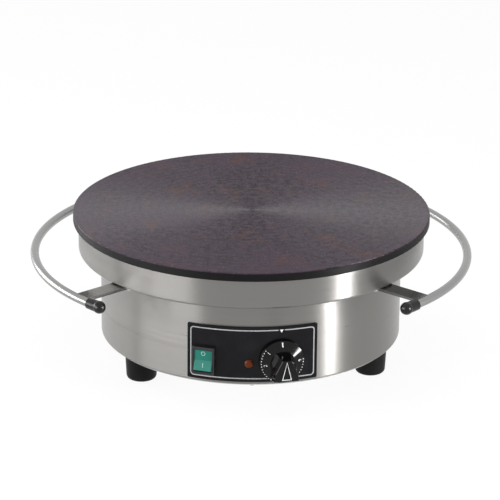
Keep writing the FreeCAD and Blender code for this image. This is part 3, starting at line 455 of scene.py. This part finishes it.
# %% Border line
PANEL_SPAN = math.radians(48.8)
PANEL_HALF = PANEL_FACE * PANEL_SPAN / 2
BORDER_INSET = 3.4 * MM
BORDER_WIDTH = 1.2 * MM
BORDER_CORNER = 4 * MM
MARK_ARC = PANEL_FACE * KNOB_ANGLE
MARK_GAP = 3.6 * MM
STRIP = 2 * MM
border_height = panel_high.z - panel_low.z - 2 * BORDER_INSET
border = flat_rectangle(2 * (PANEL_HALF - BORDER_INSET), border_height)
bmesh.ops.bevel(border, geom=border.verts[:], offset=BORDER_CORNER, affect="VERTICES", segments=8,
                profile=0.5, material=-1)
inside = border.faces[:]
bmesh.ops.inset_region(border, faces=inside, thickness=BORDER_WIDTH, use_boundary=True)
bmesh.ops.delete(border, geom=inside, context="FACES")
slice_across(border, -PANEL_HALF, PANEL_HALF, STRIP)
for edge in (MARK_ARC - MARK_GAP, MARK_ARC + MARK_GAP):
    everything = border.verts[:] + border.edges[:] + border.faces[:]
    bmesh.ops.bisect_plane(border, geom=everything, plane_co=(edge, 0, 0), plane_no=(1, 0, 0))
in_gap = [face for face in border.faces
          if abs(face.calc_center_median().x - MARK_ARC) < MARK_GAP and face.calc_center_median().y > 0]
bmesh.ops.delete(border, geom=in_gap, context="FACES")
bmesh.ops.translate(border, vec=(0, (panel_low.z + panel_high.z) / 2, 0), verts=border.verts)
thicken(border, INK)
wrap_on_panel(border)
finish_piece("panel_border", border, "chassis", grey_ink)

# %% Pointer mark
MARK_RADIUS = 2.3 * MM
MARK_DROP = 4.6 * MM
mark = bmesh.new()
bmesh.ops.create_circle(mark, cap_ends=True, segments=3, radius=MARK_RADIUS)
bmesh.ops.rotate(mark, matrix=Matrix.Rotation(math.pi, 3, "Z"), verts=mark.verts)
bmesh.ops.translate(mark, vec=(MARK_ARC, panel_high.z - MARK_DROP, 0), verts=mark.verts)
thicken(mark, INK)
wrap_on_panel(mark)
finish_piece("pointer_mark", mark, "chassis", white_ink)

# %% [markdown]
# ## The dial
#
# The knob's dial is a glossy moulded cone: it catches one hard highlight and is black all round it. The model
# has a plain flat cone there, so a thin turned cap with the full slope goes over it. Spinning a profile round
# the knob's own axis is the same step as turning it on a lathe.

# %% Dial cap
DIAL_FLAT = 14 * MM
DIAL_RIM = 24.5 * MM
DIAL_FACE_HEIGHT = 9.4 * MM
DIAL_DROP = 4.6 * MM
CAP_BACK = 6.5 * MM
CAP_BACK_RADIUS = 13.8 * MM
CAP_EDGE = 4.3 * MM
CAP_STEPS = 96
DIAL_SLOPE = math.atan2(DIAL_DROP, DIAL_RIM - DIAL_FLAT)
knob_place = (
    Matrix.Translation((PANEL_FACE * math.sin(KNOB_ANGLE), -PANEL_FACE * math.cos(KNOB_ANGLE), KNOB_HEIGHT))
    @ Matrix.Rotation(KNOB_ANGLE, 4, "Z")
    @ Matrix.Rotation(math.pi / 2, 4, "X")
)


def lathe(profile, steps):
    """Turn a profile of radii and heights a full round about Z."""
    shape = bmesh.new()
    points = [shape.verts.new((radius, 0, height)) for radius, height in profile]
    edges = [shape.edges.new(pair) for pair in zip(points, points[1:])]
    bmesh.ops.spin(shape, geom=points + edges, axis=(0, 0, 1), cent=(0, 0, 0), angle=2 * math.pi, steps=steps,
                   use_merge=True)
    bmesh.ops.remove_doubles(shape, verts=shape.verts, dist=1e-7)
    return shape


cap_profile = [
    (0, CAP_BACK), (CAP_BACK_RADIUS, CAP_BACK), (DIAL_RIM, CAP_EDGE),
    (DIAL_RIM, DIAL_FACE_HEIGHT - DIAL_DROP), (DIAL_FLAT, DIAL_FACE_HEIGHT), (0, DIAL_FACE_HEIGHT),
]
dial_cap = lathe(cap_profile, CAP_STEPS)
bmesh.ops.transform(dial_cap, matrix=knob_place, verts=dial_cap.verts)
finish_piece("dial_cap", dial_cap, "knob", knob_black)

# %% [markdown]
# The dial carries a row of dots, plain numbers and a tick at off. Each mark starts flat, and one transform
# tips it by the slope of the cone and sets it at its own radius and turn. All the dots are one piece.

# %% Dots and off tick
DOT_RADIUS = 0.55 * MM
DOT_RING = 23.2 * MM
TICK_RING = 20.6 * MM
TICK_WIDTH = 1.3 * MM
TICK_LENGTH = 5.2 * MM
FIRST_DOT = math.radians(52)
LAST_DOT = math.radians(276)
DOT_COUNT = 29


def on_dial(ring, turn):
    """The place of a mark on the coned dial: turned anticlockwise from the top, and tipped with the cone."""
    height = DIAL_FACE_HEIGHT - (ring - DIAL_FLAT) * math.tan(DIAL_SLOPE) + LIFT
    return (
        knob_place
        @ Matrix.Rotation(turn, 4, "Z")
        @ Matrix.Translation((0, ring, height))
        @ Matrix.Rotation(-DIAL_SLOPE, 4, "X")
    )


def join_shapes(shapes):
    """One bmesh from several."""
    whole = bmesh.new()
    for shape in shapes:
        mesh = bpy.data.meshes.new("part")
        shape.to_mesh(mesh)
        shape.free()
        whole.from_mesh(mesh)
        bpy.data.meshes.remove(mesh)
    return whole


dots = []
for index in range(DOT_COUNT):
    turn = FIRST_DOT + (LAST_DOT - FIRST_DOT) * index / (DOT_COUNT - 1)
    dot = bmesh.new()
    bmesh.ops.create_circle(dot, cap_ends=True, segments=16, radius=DOT_RADIUS)
    thicken(dot, INK)
    bmesh.ops.transform(dot, matrix=on_dial(DOT_RING, turn), verts=dot.verts)
    dots.append(dot)
finish_piece("dial_dots", join_shapes(dots), "knob", white_ink)

tick = flat_rectangle(TICK_WIDTH, TICK_LENGTH)
thicken(tick, INK)
bmesh.ops.transform(tick, matrix=on_dial(TICK_RING, 0), verts=tick.verts)
finish_piece("off_tick", tick, "knob", white_ink)

# %% [markdown]
# The numbers are set in Blender's own plain font. A text object is a curve, so it is made a mesh first, and
# then thickened and placed as the dots are.

# %% Numbers
NUMBER_RING = 19 * MM
NUMBER_SIZE = 5.4 * MM
NUMBER_COUNT = 6


def lettering(text, size):
    """A flat bmesh of a short text, centred."""
    curve = bpy.data.curves.new("text", "FONT")
    curve.body = text
    curve.size = size
    curve.align_x = "CENTER"
    curve.align_y = "CENTER"
    curve.resolution_u = 3
    holder = bpy.data.objects.new("text", curve)
    bpy.context.scene.collection.objects.link(holder)
    bpy.context.view_layer.update()
    mesh = bpy.data.meshes.new_from_object(holder)
    shape = bmesh.new()
    shape.from_mesh(mesh)
    bpy.data.objects.remove(holder)
    bpy.data.curves.remove(curve)
    bpy.data.meshes.remove(mesh)
    return shape


numbers = []
for index in range(NUMBER_COUNT):
    turn = FIRST_DOT + (LAST_DOT - FIRST_DOT) * index / (NUMBER_COUNT - 1)
    digit = lettering(str(index + 1), NUMBER_SIZE)
    thicken(digit, INK)
    bmesh.ops.transform(digit, matrix=on_dial(NUMBER_RING, turn), verts=digit.verts)
    numbers.append(digit)
finish_piece("dial_numbers", join_shapes(numbers), "knob", white_ink)

# %% [markdown]
# The grip's flat front carries an outlined triangle: a circle of three points, scaled to its size, inset by
# the line's width and emptied.

# %% Triangle
GRIP_FRONT = 30.8 * MM
TRIANGLE_LINE = 1.1 * MM
TRIANGLE_HALF = 5.3 * MM
TRIANGLE_TOP = 10.2 * MM
TRIANGLE_BOTTOM = -10.6 * MM
outline = bmesh.new()
bmesh.ops.create_circle(outline, cap_ends=True, segments=3, radius=1)
triangle_scale = (TRIANGLE_HALF / math.cos(math.radians(30)), (TRIANGLE_TOP - TRIANGLE_BOTTOM) / 1.5, 1)
bmesh.ops.scale(outline, vec=triangle_scale, verts=outline.verts)
base_drop = TRIANGLE_BOTTOM + triangle_scale[1] / 2
bmesh.ops.translate(outline, vec=(0, base_drop, 0), verts=outline.verts)
core = outline.faces[:]
bmesh.ops.inset_region(outline, faces=core, thickness=TRIANGLE_LINE, use_boundary=True)
bmesh.ops.delete(outline, geom=core, context="FACES")
thicken(outline, INK)
on_grip = knob_place @ Matrix.Translation((0, 0, GRIP_FRONT + LIFT))
bmesh.ops.transform(outline, matrix=on_grip, verts=outline.verts)
finish_piece("grip_triangle", outline, "knob", white_ink)

# %% [markdown]
# The rocker is marked with a ring at the top, for off, and a bar at the bottom, for on. Each lies on its own
# half of the rocker, which slopes away from the middle.

# %% Rocker marks
ROCKER_VALLEY = 3.2 * MM
ROCKER_TILT = math.radians(11)
PIVOT_OUT = 0.8 * MM
ROCKER_LIFT = 0.00003
RING_RADIUS = 2.3 * MM
RING_LINE = 0.45 * MM
RING_HEIGHT = 7.6 * MM
BAR_WIDTH = 0.55 * MM
BAR_LENGTH = 5 * MM
BAR_HEIGHT = 5.6 * MM
rocker_place = (
    Matrix.Translation(((PANEL_FACE + PIVOT_OUT) * math.sin(SWITCH_ANGLE),
                        -(PANEL_FACE + PIVOT_OUT) * math.cos(SWITCH_ANGLE), SWITCH_HEIGHT))
    @ Matrix.Rotation(SWITCH_ANGLE, 4, "Z")
    @ Matrix.Rotation(math.pi / 2 - ROCKER_TILT, 4, "X")
)


def on_rocker(height, side):
    """The place of a mark on the upper (side 1) or lower (side -1) face of the rocker."""
    out = ROCKER_VALLEY + height * math.tan(ROCKER_TILT) + ROCKER_LIFT
    return (
        rocker_place
        @ Matrix.Translation((0, side * height, out))
        @ Matrix.Rotation(side * ROCKER_TILT, 4, "X")
    )


ring = bmesh.new()
bmesh.ops.create_circle(ring, cap_ends=True, segments=40, radius=RING_RADIUS)
disc = ring.faces[:]
bmesh.ops.inset_region(ring, faces=disc, thickness=RING_LINE, use_boundary=True)
bmesh.ops.delete(ring, geom=disc, context="FACES")
thicken(ring, INK)
bmesh.ops.transform(ring, matrix=on_rocker(RING_HEIGHT, 1), verts=ring.verts)
bar = flat_rectangle(BAR_WIDTH, BAR_LENGTH)
thicken(bar, INK)
bmesh.ops.transform(bar, matrix=on_rocker(BAR_HEIGHT, -1), verts=bar.verts)
finish_piece("rocker_marks", join_shapes([ring, bar]), "rocker", green_ink)

# %% [markdown]
# ## Studio
#
# A white floor, a big soft lamp above, two broad ones at the left and a narrow one at the right. Steel is
# mostly a picture of its surroundings, so the side lamps stand where their reflections fall: a pale left side
# and one clear upright band right of the middle. Floor and world are plain white to the camera and in every
# mirror or glass, through Light Path, and yet the floor takes a shadow and the world's light stays soft.

# %% Floor
FLOOR_HALF = 8
FLOOR_TONE = 0.82
FLOOR_WHITE = 0.92


def meets_white(tree):
    """1 for the rays that meet plain white: the camera's own, and those off metal and through glass."""
    seen = tree.add("ShaderNodeLightPath", output="Is Camera Ray")
    return seen + seen.beside("Is Glossy Ray") + seen.beside("Is Transmission Ray")


def studio_floor():
    tree = Tree("studio_floor")
    tree.surface(Base_Color=grey(FLOOR_TONE), Roughness=0.9)
    plain = Wire(tree, tree.shader.outputs[0])
    glow = tree.add("ShaderNodeEmission", None, {"Color": grey(1.0), "Strength": 1.0})
    mix = tree.add("ShaderNodeMixShader", None, {0: meets_white(tree) * FLOOR_WHITE, 1: plain, 2: glow})
    tree.links.new(mix.socket, tree.nodes["Material Output"].inputs["Surface"])
    return tree.material


floor_shape = bmesh.new()
bmesh.ops.create_grid(floor_shape, x_segments=1, y_segments=1, size=FLOOR_HALF)
floor_mesh = bpy.data.meshes.new("floor")
floor_shape.to_mesh(floor_mesh)
floor_shape.free()
floor_mesh.materials.append(studio_floor())
floor = bpy.data.objects.new("floor", floor_mesh)
bpy.context.scene.collection.objects.link(floor)
print("floor", 2 * FLOOR_HALF, "m wide")

# %% [markdown]
# The world is one soft sweep, from bright behind the object to dim in front. It lights only the dull side of
# each finish, because a mirrored ray meets plain white instead.

# %% World
SKY_DIM = 0.16
SKY_BRIGHT = 0.9
SKY_TOWARDS = (-0.34, 0.94, 0)
SWEEP_STARTS = 0.35
SWEEP_ENDS = 0.85


class Sky(Tree):
    """The world's node tree, started with its Background shader."""

    def __init__(self, world):
        world.use_nodes = True
        self.nodes = world.node_tree.nodes
        self.links = world.node_tree.links
        self.shader = self.nodes["Background"]


world = bpy.data.worlds.new("studio")
bpy.context.scene.world = world
sky = Sky(world)
direction = sky.add("ShaderNodeTexCoord", output="Generated")
settings = {"operation": "DOT_PRODUCT"}
towards = sky.add("ShaderNodeVectorMath", settings, {0: direction, 1: SKY_TOWARDS}, "Value")
sweep = towards.step(SWEEP_STARTS, SWEEP_ENDS) * (SKY_BRIGHT - SKY_DIM) + SKY_DIM
level = sky.add("ShaderNodeMix", None, {"Factor": meets_white(sky), "A": sweep, "B": 1.0})
sky.feed(sky.shader, {"Color": grey(1.0), "Strength": level})
print("world between", SKY_DIM, "and", SKY_BRIGHT)

# %% [markdown]
# The lamps are rectangles that all look at the middle of the casing. The top lamp is kept out of mirrors, so
# that the fan on the plate comes from the side lamps alone.

# %% Lamps
LAMP_AIM = Vector((0, 0, 0.1))


def soft_lamp(name, place, width, height, power):
    """A rectangular area lamp that looks at the casing, with its sizes in metres and its power in watts."""
    data = bpy.data.lights.new(name, "AREA")
    data.shape = "RECTANGLE"
    data.size = width
    data.size_y = height
    data.energy = power
    lamp = bpy.data.objects.new(name, data)
    bpy.context.scene.collection.objects.link(lamp)
    away = (Vector(place) - LAMP_AIM).to_track_quat("Z", "Y").to_matrix().to_4x4()
    lamp.matrix_world = Matrix.Translation(place) @ away
    print(name, width, "by", height, "m,", power, "W")
    return lamp


top_lamp = soft_lamp("top_lamp", (0, -0.2, 2.0), 2.0, 1.4, 36)
top_lamp.visible_glossy = False
soft_lamp("left_lamp", (-2.0, -1.05, 0.5), 2.2, 1.0, 56)
soft_lamp("back_left_lamp", (-2.1, 0.95, 0.5), 1.7, 1.0, 34)
soft_lamp("right_lamp", (1.70, -1.05, 0.25), 0.24, 1.0, 64)
